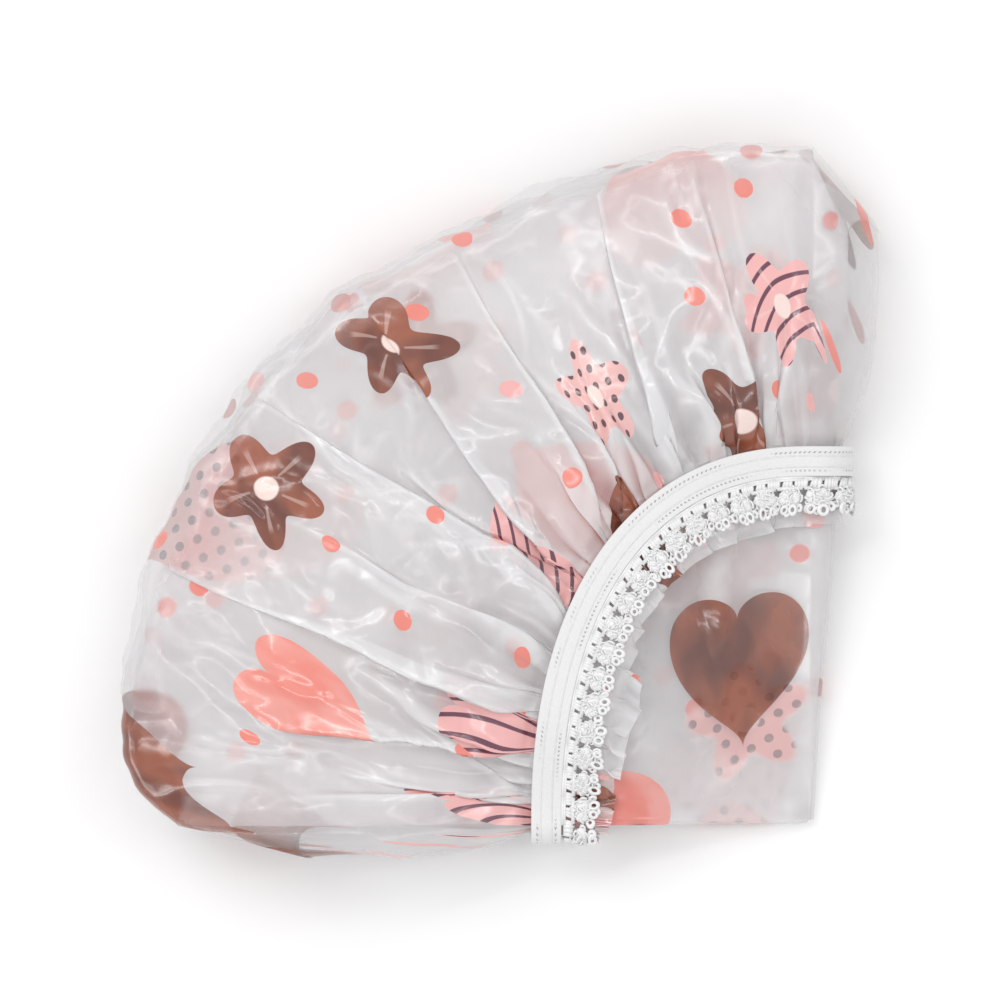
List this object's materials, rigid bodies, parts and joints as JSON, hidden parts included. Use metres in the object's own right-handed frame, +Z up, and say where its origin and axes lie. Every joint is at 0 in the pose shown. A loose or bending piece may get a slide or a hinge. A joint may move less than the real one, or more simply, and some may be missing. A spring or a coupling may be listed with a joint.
{
  "type": "shower cap",
  "caption": "Frosted film shower cap with gathered skirt and lace-edged elastic mouth, folded in quarter into a flat fan.",
  "frame": {"origin": "middle of the footprint, on the surface that the folded cap lies on", "axes": "+Z up, away from that surface; +Y from the bottom fold towards the rim at the top; +X towards the right fold, so the fan spreads to -X and +Y"},
  "size_m": [0.152, 0.1428, 0.0295],
  "materials": {
    "film": "frosted translucent PEVA film, soft, with a scattered print of hearts, flowers and dots",
    "knit": "white covered-rubber elastic tape, fine lengthwise ribs",
    "lace": "white knitted picot lace with a bright rayon sheen",
    "strand_rubber": "natural latex thread",
    "thread": "white polyester sewing thread"
  },
  "bodies": {
    "root": {"film_cap": "film", "tape_back": "knit", "tape_face": "knit", "rubber_strand_1": "strand_rubber", "rubber_strand_2": "strand_rubber", "rubber_strand_3": "strand_rubber", "lace_edge": "lace", "needle_thread_1": "thread", "needle_thread_2": "thread", "under_thread": "thread"}
  },
  "joints": []
}
